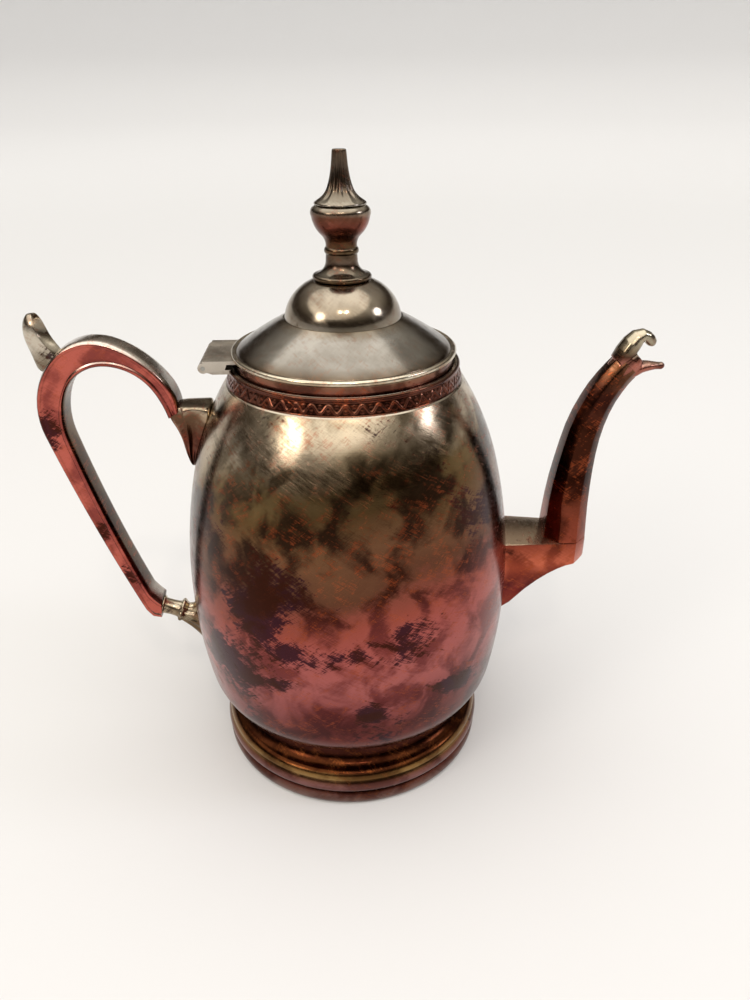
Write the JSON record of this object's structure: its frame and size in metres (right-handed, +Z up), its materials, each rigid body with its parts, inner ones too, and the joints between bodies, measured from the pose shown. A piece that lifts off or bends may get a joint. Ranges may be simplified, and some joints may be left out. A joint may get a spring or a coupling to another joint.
{
  "type": "hinged-lid serving pot",
  "caption": "Tall egg-shaped silver-plated serving pot with a hinged domed lid, fluted finial, loop handle, open-beaked spout and spread foot.",
  "frame": {"origin": "centre of the foot's resting circle, on the surface that the pot stands on", "axes": "+Z up the body's axis, +X towards the spout, -X towards the handle and lid hinge, +Y across the pot parallel to the hinge pin"},
  "size_m": [0.241, 0.1332, 0.2476],
  "materials": {
    "body_plate": "polished silver plate on white metal, tarnished to copper and violet low down",
    "lid_plate": "polished silver plate, warm grey, fine scratches",
    "foot_plate": "polished silver plate, tarnished brown in the cove",
    "collar_plate": "die-rolled silver plate with dark tarnish in the hollows",
    "handle_plate": "polished silver plate tarnished to copper on the flat sides",
    "spout_plate": "polished silver plate tarnished olive brown",
    "cast_plate": "cast and chased silver plate with dark hollows",
    "steel_fixings": "plain turned steel, dull"
  },
  "bodies": {
    "pot": {"body_shell": "body_plate", "bottom_plate": "body_plate", "collar_bead": "collar_plate", "foot_rim": "foot_plate", "foot_ring": "foot_plate", "handle_far_half": "handle_plate", "handle_near_half": "handle_plate", "hinge_body_leaf": "lid_plate", "hinge_pin": "steel_fixings", "lower_boss": "cast_plate", "lower_socket": "cast_plate", "neck_collar": "collar_plate", "ornament_band": "collar_plate", "spout_beak": "spout_plate", "spout_far_half": "spout_plate", "spout_near_half": "spout_plate", "thumb_rest": "cast_plate", "upper_socket": "cast_plate"},
    "lid": {"lid_rim": "lid_plate", "lid_shell": "lid_plate", "lid_flange": "lid_plate", "hinge_lid_leaf": "lid_plate", "finial_skirt": "cast_plate", "finial_ring": "cast_plate", "finial_urn": "cast_plate", "finial_spire": "cast_plate", "finial_stud": "steel_fixings", "finial_nut": "steel_fixings", "finial_washer": "steel_fixings"}
  },
  "joints": [
    {"name": "lid_hinge", "type": "hinge", "parent": "pot", "child": "lid", "pos_m": [-0.051, 0, 0.1764], "axis": [0, -1, 0], "range_deg": [0, 100]}
  ]
}
